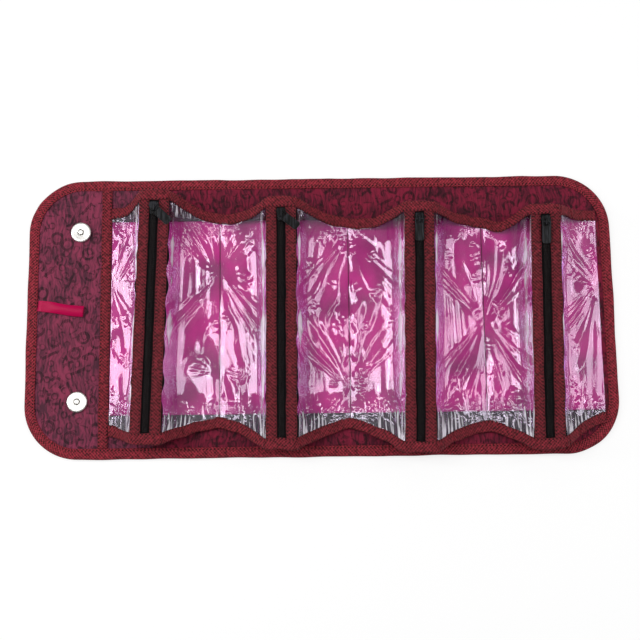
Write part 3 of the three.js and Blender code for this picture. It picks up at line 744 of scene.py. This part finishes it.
class OrganizerBinding(bpy.types.Operator):
    """Woven binding folded over the mat's edge, round both ends and along both sides"""

    bl_idname = "organizer.binding"
    bl_label = "Binding"

    def execute(self, context):
        tape = taped(context, "binding_tape", (7.6,), shaded_edges=False)
        ends = (
            ("binding_flap", -1, RIDGES[0], ("flap", "pocket_1"), FLAP_FOLD, "flap_binding", 1),
            ("binding_end", 1, RIDGES[2], ("pocket_3", "pocket_4"), FOLDS[2], "end_binding", 3),
        )
        for name, end, cut, bodies, fold, node, number in ends:
            nodes = [node, f"edge_binding_far_{number}", f"edge_binding_near_{number}"]
            self.fold_over(name, self.round_end(end, cut), tape, bodies, nodes, fold)
        for side, word in SIDES:
            for index in (1, 2):
                start, end = RIDGES[index - 1:index + 1]
                x = np.arange(start, end + 1e-6, (end - start) / 46)
                line = points_of(x, side * MAT_WIDTH / 2, 0, -side)
                nodes = [f"edge_binding_{word}_2"] if index == 2 else []
                name = f"binding_{word}_{index}{index + 1}"
                self.fold_over(name, line, tape, span_bodies(index), nodes, SEAMS[index])
        return {"FINISHED"}

    def round_end(self, end, cut):
        """The edge from the cut on the far side, round one end of the mat, back to the cut
        on the near side, as rows of X, Y and the direction inwards."""
        straight = np.linspace(cut, end * (MAT_LENGTH / 2 - CORNER_RADIUS), 40)[:-1]
        far = points_of(straight, MAT_WIDTH / 2, 0, -1)
        turn = np.linspace(0, np.pi / 2, 30)
        corner = points_of(end * np.sin(turn), np.cos(turn))
        centre = np.array([end * (MAT_LENGTH / 2 - CORNER_RADIUS), MAT_WIDTH / 2 - CORNER_RADIUS])
        far_corner = np.concatenate([centre + CORNER_RADIUS * corner, -corner], axis=-1)
        y = np.linspace(centre[1], -centre[1], 62)[1:-1]
        side = points_of(end * MAT_LENGTH / 2, y, -end, 0)
        mirror = np.array([1, -1, 1, -1])
        return np.concatenate([far, far_corner, side, far_corner[::-1] * mirror, far[::-1] * mirror])

    def fold_over(self, name, line, tape, bodies, nodes, fold):
        """Carries the folded tape's section along the line. The section goes along the top,
        half round a circle at the edge, back underneath, and returns inside itself. Soft
        noise lifts its top and moves its edge in and out."""
        nose = BINDING_TOP / 2
        turn = np.linspace(np.pi / 2, -np.pi / 2, 11)[1:-1]
        top = points_of(np.linspace(BINDING_WIDTH, nose, 9), BINDING_TOP)
        top[0, 1] -= 0.25
        rounded = points_of(nose - nose * np.cos(turn), nose + nose * np.sin(turn))
        below = points_of(np.linspace(nose, BINDING_WIDTH, 6), 0)
        inside = np.array([[9.5, 0.35], [2.6, 0.45], [0.7, 2.3], [2.6, 3.8], [9.3, 3.75]])
        section = np.concatenate([top, rounded, below, inside])
        wide, high = section.T
        run = length_along(section)
        around = line[:, 0, None] + line[:, 1, None] * 0.7
        shown = np.arange(len(section)) < len(top) + 4
        lift = 0.14 * wobble(around, run[None], 13, 11) * shown
        inward = wide + 0.28 * wobble(around, 0, 31, 12) * (wide < 3)
        xy = line[:, None, :2] + line[:, None, 2:] * inward[..., None]
        rings = np.concatenate([xy, (high + lift)[..., None]], axis=-1)
        uv = points_of(length_along(line[:, :2])[:, None], BINDING_WIDTH - run)
        place(add_surface(name, rings, [tape], uv), bodies, nodes, "binding", fold)


class OrganizerStrip(bpy.types.Operator):
    """Woven strip over the seam between the flap and the first pocket"""

    bl_idname = "organizer.strip"
    bl_label = "Seam strip"

    def execute(self, context):
        reach, height = 115.6, 4.7
        line = points_of(sum(STRIP) / 2, np.linspace(-reach, reach, 130), height)
        rings, uv = band(line, (1, 0, 0), UP, STRIP[1] - STRIP[0], STRIP_THICK, seed=21, ripple=0.1)
        tape = taped(context, "strip_tape", (-3.2, 3.2), shade=0.85)
        place(add_surface("strip", rings, [tape], uv), ["pocket_1"], ["seam_strip"], "binding")
        return {"FINISHED"}


class OrganizerLining(bpy.types.Operator):
    """Magenta lining of the pocket floors, in stretches from ridge to ridge"""

    bl_idname = "organizer.lining"
    bl_label = "Lining"

    def execute(self, context):
        lining = shared(coated_nylon, "coated_nylon_lining", context.scene.organizer_colors.lining)
        cuts = (SEAMS[0], *RIDGES, SEAMS[-1])
        for index, under in enumerate(("mat_flap", "mat_12", "mat_23", "mat_34", "mat_34")):
            start, end = cuts[index:index + 2]
            x = np.linspace(start, end, 40)[None, :]
            y = np.linspace(-ROOT[-1] + 0.3, ROOT[1] - 0.3, 70)[:, None]
            z = 4.35 + 0.08 * wobble(x, y, 25, 31)
            piece = add_surface(f"lining_{index}", skin(points_of(x, y, z), SHEET_THICK), [lining])
            nodes = [f"pocket_floor_{index}"] if index else []
            place(piece, span_bodies(index), nodes, "lining", SEAMS[index])
        return {"FINISHED"}


class OrganizerGussets(bpy.types.Operator):
    """Coated gussets at the pockets' ends, which lean out from their sewn lines to the rims"""

    bl_idname = "organizer.gussets"
    bl_label = "Gussets"

    def execute(self, context):
        coating = shared(dark_coating, "charcoal_coated_cloth")
        columns = 110
        for side, word in SIDES:
            for k in POCKETS:
                # Straight lines from the sewn line to the rim, which belly out as half a sine
                x = np.linspace(SEAMS[k] + 0.2, SEAMS[k + 1] - 0.2, columns)[None, :]
                out, top = (np.interp(x, RIM_LINES[side][0], line) for line in RIM_LINES[side][1:])
                top = top + 0.6
                t = np.linspace(0, 1, 26)[:, None]
                slack = 0.9 * np.sin(np.pi * t) * ease((top - 7) / 12)
                y = side * (ROOT[side] + out * t + slack * (0.6 + wobble(x, 24 * t, 13, 41 + k)))
                z = mix(CLOTH_BASE + 0.4, top, t) - 0.3 * slack
                rings = skin(points_of(x, y, z), GUSSET_THICK, (0, -side, 0.2))
                uv = points_of(rings[..., 0], rings[..., 1] + side * rings[..., 2])
                name = f"gusset_{word}_{k + 1}"
                piece = add_surface(f"{name}_cloth", rings, [coating, printed(context)], uv, columns)
                place(piece, [f"pocket_{k + 1}"], [name], "binding")
        return {"FINISHED"}


class OrganizerRims(bpy.types.Operator):
    """Bound rims of the pockets, which ride over the zips and dip to the mat at the seams"""

    bl_idname = "organizer.rims"
    bl_label = "Rims"

    # The pleats' places along a rim, from the middle of each zip
    PLEATS = (-17, -13.5, 12, 15, 27)

    def execute(self, context):
        tape = taped(context, "rim_tape", (-3.9,), shade=0.75)
        cuts = (SEAMS[0] - 1, *RIDGES, SEAMS[-1] + 1)
        for side, word in SIDES:
            # The tape tilts down outwards, more where the rim is steep, and sways by noise
            x, out, z = RIM_LINES[side]
            slope = np.abs(np.gradient(z, x))
            outward = unit(points_of(0, side, -0.10 - 0.10 * np.tanh(slope)))
            sway = 0.45 * wobble(x, 0, 19, 55 + side) * ease((x - x[0]) / 8) * ease((x[-1] - x) / 8)
            line = points_of(x, side * (ROOT[side] + out), z + 0.9) + outward * sway[:, None]
            run = length_along(line)
            rings, uv = band(
                line, outward, (0, 0.12 * side, 1), RIM_WIDTH - 0.2, RIM_THICK,
                sides=24, ripple=0.4, seed=51 + side,
                pleats=[np.interp(ridge + step, x, run) for ridge in RIDGES for step in self.PLEATS],
            )
            for index in range(5):
                inside = np.flatnonzero((x >= cuts[index]) & (x <= cuts[index + 1]))
                part = slice(inside[0], min(inside[-1] + 1, len(x) - 1) + 1)
                piece = add_surface(f"rim_{word}_{index}", rings[part], [tape], uv[part])
                place(piece, span_bodies(index), (), "binding", SEAMS[index])
        return {"FINISHED"}


class OrganizerFilms(bpy.types.Operator):
    """Clear creased film over each pocket, from the zip down to the seam and up to the next"""

    bl_idname = "organizer.films"
    bl_label = "Clear films"

    def execute(self, context):
        height = context.scene.organizer_sizes.crease_height * 1000
        vinyl = shared(clear_vinyl, "clear_pvc_film")
        for index, pinches in enumerate(PINCHES):
            halves, hems = [], []
            for k, half, at_tape in ((index - 1, 1, 0), (index, -1, -1)):
                if k in POCKETS:
                    # The second half leaves out the seam's column, which the first one has
                    points = film_half(k, half)[:, ::-half][:, len(halves):]
                    halves.append(points)
                    hems.append(points[:, at_tape, None, 0] - points[..., 0])
            # The creases stand out along the normals, less on the steep walls, and die out at
            # the rims and the zips' tapes
            grid, hems = np.concatenate(halves, axis=1), np.concatenate(hems, axis=1)
            crease = film_creases(grid[..., 0], grid[..., 1], SEAMS[index], pinches, 60 + 12 * index, height)
            rows = np.linspace(0, 1, len(grid))[:, None]
            held = ease(rows / 0.02) * ease((1 - rows) / 0.02) * ease(np.abs(hems) / 5)
            normal = normals_of(grid)
            level = np.abs(normal[..., 2])
            grid = grid + normal * (crease * held * (0.15 + 0.85 * level))[..., None]
            uv = points_of(hems, grid[..., 1])
            uv = np.concatenate([uv, uv[:, ::-1]], axis=1)
            piece = add_surface(f"film_{index}", skin(grid, SHEET_THICK), [vinyl], uv)
            nodes = [f"window_right_{index}"] * (index > 0) + [f"window_left_{index + 1}"] * (index < 4)
            place(piece, span_bodies(index), nodes, "film", SEAMS[index])
        return {"FINISHED"}


class OrganizerFacings(bpy.types.Operator):
    """Woven facing tapes along both sides of each zip"""

    bl_idname = "organizer.facings"
    bl_label = "Facing tapes"

    def execute(self, context):
        tape = taped(context, "facing_tape", (-3.2, 3.2), shade=0.6)
        for k in POCKETS:
            for half, word in HALVES:
                line, along = zip_line(k, half * FACING_OUT, FACING_UP, tuck=3.0)
                rings, uv = band(
                    line, np.cross(along, UP), UP, FACING_WIDTH, FACING_THICK,
                    ripple=0.05, seed=71 + 2 * k + half,
                )
                name = f"facing_{word}_{k + 1}"
                piece = add_surface(f"{name}_tape", rings, [tape], uv)
                place(piece, [f"pocket_{k + 1}"], [name], "binding")
        return {"FINISHED"}


def zip_line(k, across, up, tuck=0.0, count=150):
    """Points along zip k at a place across and above its middle line, from the near rim to
    the far one and a tuck under each, and the zip's direction."""
    near, far = (
        points_of(ZIP_X[side][k], side * (ROOT[side] + RIDGE_OUT[side][k] - RIM_WIDTH / 2), ZIP_Z[side][k])
        for side in (-1, 1)
    )
    along = unit(far - near)
    line = mix(near - along * tuck, far + along * tuck, np.linspace(0, 1, count)[:, None])
    return line + unit(np.cross(along, UP)) * across + UP * up, along


class OrganizerZips(bpy.types.Operator):
    """Closed coil zips: woven tapes with two rows of coil turns sewn on them"""

    bl_idname = "organizer.zips"
    bl_label = "Zips"

    def execute(self, context):
        woven = shared(dyed_nylon, "black_woven_tape", "#070608", 0.9, 0.0009)
        moulded = shared(dyed_nylon, "black_nylon_coil", "#0d0607", 0.25, 0.0006, 0.3)
        pitch = context.scene.organizer_sizes.coil_pitch * 1000
        for k in POCKETS:
            body = [f"pocket_{k + 1}"]
            line, along = zip_line(k, ZIP_OUT, ZIP_UP, tuck=2.0)
            across = np.cross(along, UP)
            rings, _ = band(line, across, UP, ZIP_WIDTH, ZIP_THICK, ripple=0.02, seed=81 + k)
            place(add_surface(f"zip_tape_{k + 1}", rings, [woven]), body, [f"zip_{k + 1}"], "zip")
            for half, word in HALVES:
                rings = self.coil(k, half, pitch)
                place(add_surface(f"zip_coil_{word}_{k + 1}", rings, [moulded]), body, (), "zip")
        return {"FINISHED"}

    def coil(self, k, half, pitch):
        """One row of coil: a thread carried along a flattened helix, whose turns reach from
        the zip's middle line 2.4 mm to one side and are 1.2 mm high. The right row lies a
        quarter of a pitch further along."""
        ends, along = zip_line(k, 0, 0, count=2)
        turns = int((np.linalg.norm(ends[1] - ends[0]) - 1.0) / pitch)
        angle = np.linspace(0, 2 * np.pi * turns, turns * 10 + 1)[:, None]
        out = half * (1.15 - 1.25 * np.cos(angle))
        high = -0.52 + 0.62 * np.sin(angle)
        run = 0.5 + pitch * (angle / (2 * np.pi) + (0.25 if half > 0 else 0))
        line = ends[0] + along * run + unit(np.cross(along, UP)) * out + UP * high
        ahead = unit(np.gradient(line, axis=0))
        side = unit(np.cross(ahead, along))
        top = np.cross(ahead, side)
        ring = np.linspace(0, 2 * np.pi, 5, endpoint=False)[:, None]
        return line[:, None] + COIL_RADIUS * (side[:, None] * np.cos(ring) + top[:, None] * np.sin(ring))


class OrganizerSliders(bpy.types.Operator):
    """Enamelled zip sliders and their pulls"""

    bl_idname = "organizer.sliders"
    bl_label = "Sliders"

    def execute(self, context):
        enamel = shared(black_enamel, "black_enamelled_zinc")
        for k in POCKETS:
            for node in (f"zip_slider_{k + 1}", f"zip_pull_{k + 1}"):
                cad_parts[node].data.materials.clear()
                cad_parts[node].data.materials.append(enamel)
        return {"FINISHED"}


class OrganizerSnaps(bpy.types.Operator):
    """Nickel-plated magnetic snaps: two caps on the flap, two sockets under the free end"""

    bl_idname = "organizer.snaps"
    bl_label = "Snaps"

    # Radius and height of the outlines, from the foot to the middle
    RIM = ((8.3, 0.0), (8.85, 0.25), (9.0, 0.7), (8.9, 1.5), (8.5, 2.0), (7.9, 2.2))
    CAP = (
        *RIM, (7.0, 2.18), (5.6, 2.0), (4.2, 1.86), (3.1, 1.8), (2.75, 1.7), (2.6, 1.45), (2.35, 1.42),
        (2.15, 1.6), (2.05, 2.2), (1.9, 2.5), (1.5, 2.6), (0.8, 2.6), (0.02, 2.6),
    )
    SOCKET = (
        *RIM, (6.4, 2.16), (4.6, 2.14), (3.2, 2.14), (2.8, 2.05), (2.6, 1.8), (2.55, 1.4), (2.4, 1.3),
        (0.02, 1.3),
    )
    KINDS = (("cap", "flap", CAP, 1), ("socket", "pocket_4", SOCKET, -1))

    def execute(self, context):
        nickel = shared(nickel_plate, "nickel_plated_steel")
        for _, word in SIDES:
            for kind, body, profile, turn in self.KINDS:
                name = f"snap_{kind}_{word}"
                rings, uv = self.turned(profile, *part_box(name), turn)
                piece = add_surface(f"{name}_plated", rings, [nickel], uv)
                place(piece, [body], [name], "nickel")
        return {"FINISHED"}

    def turned(self, profile, low, high, turn):
        """The profile carried round a circle in 72 steps in the middle of the node's box, one
        ring for each of its points. A turn of 1 sets it face up, and -1 face down. Gives
        the rings and, per point, the radius."""
        middle = (low + high) / 2 * 1000
        base = (low if turn > 0 else high).z * 1000
        radius, height = (np.array(column)[:, None] for column in zip(*profile))
        angle = np.linspace(0, 2 * np.pi, 72, endpoint=False)[None, :]
        x = middle[0] + radius * np.cos(angle)
        y = middle[1] + radius * np.sin(angle)
        return points_of(x, y, base + turn * height), points_of(radius, 0 * angle)


class OrganizerLoop(bpy.types.Operator):
    """Satin hanging loop: a ribbon folded double, with its fold standing open"""

    bl_idname = "organizer.loop"
    bl_label = "Hanging loop"

    def execute(self, context):
        satin = shared(satin_ribbon, "satin_ribbon", context.scene.organizer_colors.ribbon)
        # The ribbon goes out and back as a power of half a sine, first underneath and then
        # on top, and its top half puffs up across its width as a parabola
        t = np.linspace(0, 1, 90)
        x = LOOP_LENGTH * np.sin(np.pi * t) ** 0.75
        blunt = np.sqrt(np.clip(1 - (x / (LOOP_LENGTH + 0.2)) ** 20, 0, 1))
        open_up = 0.2 + 0.4 * ease((x - 8) / 20) * blunt
        z = np.where(t < 0.5, -open_up, open_up)
        z = np.convolve(np.pad(z, 4, mode="edge"), np.ones(9) / 9, mode="valid")
        line = points_of(x, 0.35 * np.sin(x / 6), z)
        roll = math.radians(4)
        across = np.broadcast_to((0, math.cos(roll), math.sin(roll)), line.shape)
        out = np.cross(unit(np.gradient(line, axis=0)), across)
        rings, uv = band(
            line, across, out, LOOP_WIDTH, LOOP_THICK,
            sides=24, ripple=0.03, seed=91, squareness=0.3,
        )
        middle = 1 - (uv[..., 1:] / (LOOP_WIDTH / 2)) ** 2
        puffed = np.where(t < 0.5, 0.1, 1.5) * ease((x - 6) / 14)
        rings = rings + UP * middle * puffed[:, None, None]
        turn = Matrix.Rotation(math.radians(-8), 3, "Z")
        rings = rings @ np.array(turn).T + LOOP_ROOT
        piece = add_surface("hang_loop_ribbon", rings, [satin], uv)
        place(piece, ["loop"], ["hang_loop"], "ribbon")
        return {"FINISHED"}


class OrganizerStitches(bpy.types.Operator):
    """Stitches that hold the clear films down along the seams between the pockets"""

    bl_idname = "organizer.stitches"
    bl_label = "Stitches"

    def execute(self, context):
        sizes = context.scene.organizer_sizes
        thread = shared(dyed_nylon, "dark_sewing_thread", "#3f0c28", 0.6, 0.0004)
        for index, seam in enumerate(FOLDS, start=1):
            low = -ROOT[-1] - SEAM_OUT[-1][index] + RIM_WIDTH / 2 + 1
            high = ROOT[1] + SEAM_OUT[1][index] - RIM_WIDTH / 2 - 1
            rings = self.running(seam, low, high, sizes.stitch_length * 1000, sizes.thread_radius * 1000)
            piece = add_surface(f"seam_stitches_{index}", rings, [thread])
            place(piece, span_bodies(index), (), "lining", seam)
        return {"FINISHED"}

    def running(self, seam, low, high, step, radius):
        """A row of stitches as one thread: it rises above the film as the square root of a
        cosine's size along the row, and sinks under it between two stitches."""
        y = np.arange(low, high, step / 10)[:, None]
        z = FILM_BASE - 0.25 + 0.6 * np.abs(np.cos(np.pi * y / step)) ** 0.5
        ring = np.linspace(0, 2 * np.pi, 6, endpoint=False)[None, :]
        return points_of(seam + radius * np.cos(ring), y, z + radius * np.sin(ring))


class OrganizerStage(bpy.types.Operator):
    """White table, soft boxes and the camera at the photograph's place"""

    bl_idname = "organizer.stage"
    bl_label = "Stage"

    # Name, place and size in metres, and radiance
    LAMPS = (
        ("lamp_left", (-0.46, 0.16, 1.25), (0.20, 1.1), 6.3),
        ("lamp_right", (0.60, 0.20, 1.25), (0.13, 1.1), 4.0),
        ("lamp_low_left", (-1.1, 0.1, 0.8), (0.35, 1.2), 6.0),
        ("lamp_low_right", (1.1, 0.1, 0.8), (0.35, 1.2), 3.5),
    )

    def execute(self, context):
        self.table()
        self.room()
        for lamp in self.LAMPS:
            self.lamp(*lamp)
        self.camera()
        context.scene.view_settings.view_transform = "Standard"
        return {"FINISHED"}

    def table(self):
        """A white table that stays white to the camera and keeps the object's shadow."""
        mesh = bpy.data.meshes.new("table_top")
        reach, drop = 6, -0.0005
        corners = [(x * reach, y * reach, drop) for x, y in ((-1, -1), (1, -1), (1, 1), (-1, 1))]
        mesh.from_pydata(corners, [], [(0, 1, 2, 3)])
        material, node = new_material("white_table_laminate")
        finished(material, (0.93, 0.93, 0.93, 1), 0.9, 0.1)
        glow = node("Emission", {"Color": (1, 1, 1, 1), "Strength": 1.08})
        share = node("Math MULTIPLY", [node("LightPath", out="Is Camera Ray"), 0.7])
        tree = material.node_tree
        lit = tree.nodes["Principled BSDF"].outputs[0]
        connect(tree, tree.nodes["Material Output"], [node("MixShader", [share, lit, glow])])
        mesh.materials.append(material)
        top = bpy.data.objects.new("table_top", mesh)
        bpy.context.collection.objects.link(top)

    def room(self):
        """A dim white room that is full white to the camera. Reflections see its pale walls and
        its dark ceiling."""
        world = bpy.data.worlds.new("studio")
        bpy.context.scene.world = world
        world.use_nodes = True
        node = partial(add_node, world.node_tree)
        rays = ("Is Camera Ray", "Is Transmission Ray", "Is Glossy Ray")
        seen, through, glossy = node("LightPath", out=rays)
        height = node("SeparateXYZ", [node("TexCoord", out="Generated")], 2)
        mirrored = node("MapRange", [height, 0.1, 0.7, 0.34, 0.28])
        dim = node("Mix", {0: glossy, 2: 0.3, 3: mirrored})
        strength = node("Math MAXIMUM", [node("Math MAXIMUM", [seen, through]), dim])
        background = world.node_tree.nodes["Background"]
        connect(world.node_tree, background, {"Color": (1, 1, 1, 1), "Strength": strength})

    def lamp(self, name, spot, size, radiance):
        """A soft box that faces the middle of the mat. Its power is radiance times its area
        times pi."""
        data = bpy.data.lights.new(name, "AREA")
        data.shape = "RECTANGLE"
        data.size, data.size_y = size
        data.energy = radiance * size[0] * size[1] * math.pi
        lamp = bpy.data.objects.new(name, data)
        where = Matrix.Translation(spot)
        away = where.to_translation().normalized()
        lamp.matrix_world = where @ away.to_track_quat("Z", "Y").to_matrix().to_4x4()
        bpy.context.collection.objects.link(lamp)

    def camera(self):
        """The camera, 1.024 m from the middle of the mat and 80 degrees above the table."""
        data = bpy.data.cameras.new("camera")
        data.lens, data.sensor_width = 64.9, 36.0
        data.shift_x, data.shift_y = -0.0011, -0.0072
        lift, turn = math.radians(80.0), math.radians(-0.74)
        back = (math.sin(turn) * math.cos(lift), -math.cos(turn) * math.cos(lift), math.sin(lift))
        right = (math.cos(turn), math.sin(turn), 0.0)
        up = tuple(np.cross(back, right))
        turned = Matrix((right, up, back)).transposed().to_4x4()
        camera = bpy.data.objects.new("camera", data)
        camera.matrix_world = Matrix.Translation([1.024 * c for c in back]) @ turned
        bpy.context.collection.objects.link(camera)
        bpy.context.scene.camera = camera


OPERATORS = (
    OrganizerStage, OrganizerMat, OrganizerBinding, OrganizerStrip, OrganizerLining, OrganizerGussets,
    OrganizerRims, OrganizerFilms, OrganizerFacings, OrganizerZips, OrganizerSliders,
    OrganizerSnaps, OrganizerLoop, OrganizerStitches,
)


class OrganizerPanel(bpy.types.Panel):
    """Lists the organizer's pieces in the sidebar"""

    bl_idname = "VIEW3D_PT_organizer"
    bl_label = "Folding Cosmetic Organizer"
    bl_space_type = "VIEW_3D"
    bl_region_type = "UI"
    bl_category = "Organizer"

    def draw(self, context):
        for group in (context.scene.organizer_sizes, context.scene.organizer_colors):
            for name in group.bl_rna.properties.keys():
                if name not in ("rna_type", "name"):
                    self.layout.prop(group, name)
        for operator in OPERATORS:
            self.layout.operator(operator.bl_idname)


CLASSES = (OrganizerSizes, OrganizerColors, *OPERATORS, OrganizerPanel)


def register():
    for cls in CLASSES:
        bpy.utils.register_class(cls)
    bpy.types.Scene.organizer_sizes = PointerProperty(type=OrganizerSizes)
    bpy.types.Scene.organizer_colors = PointerProperty(type=OrganizerColors)


def unregister():
    del bpy.types.Scene.organizer_colors
    del bpy.types.Scene.organizer_sizes
    for cls in reversed(CLASSES):
        bpy.utils.unregister_class(cls)


def main():
    register()
    bpy.ops.organizer.stage()
    bpy.ops.organizer.mat()
    bpy.ops.organizer.binding()
    bpy.ops.organizer.strip()
    bpy.ops.organizer.lining()
    bpy.ops.organizer.gussets()
    bpy.ops.organizer.rims()
    bpy.ops.organizer.films()
    bpy.ops.organizer.facings()
    bpy.ops.organizer.zips()
    bpy.ops.organizer.sliders()
    bpy.ops.organizer.snaps()
    bpy.ops.organizer.loop()
    bpy.ops.organizer.stitches()


if __name__ == "__main__":
    main()
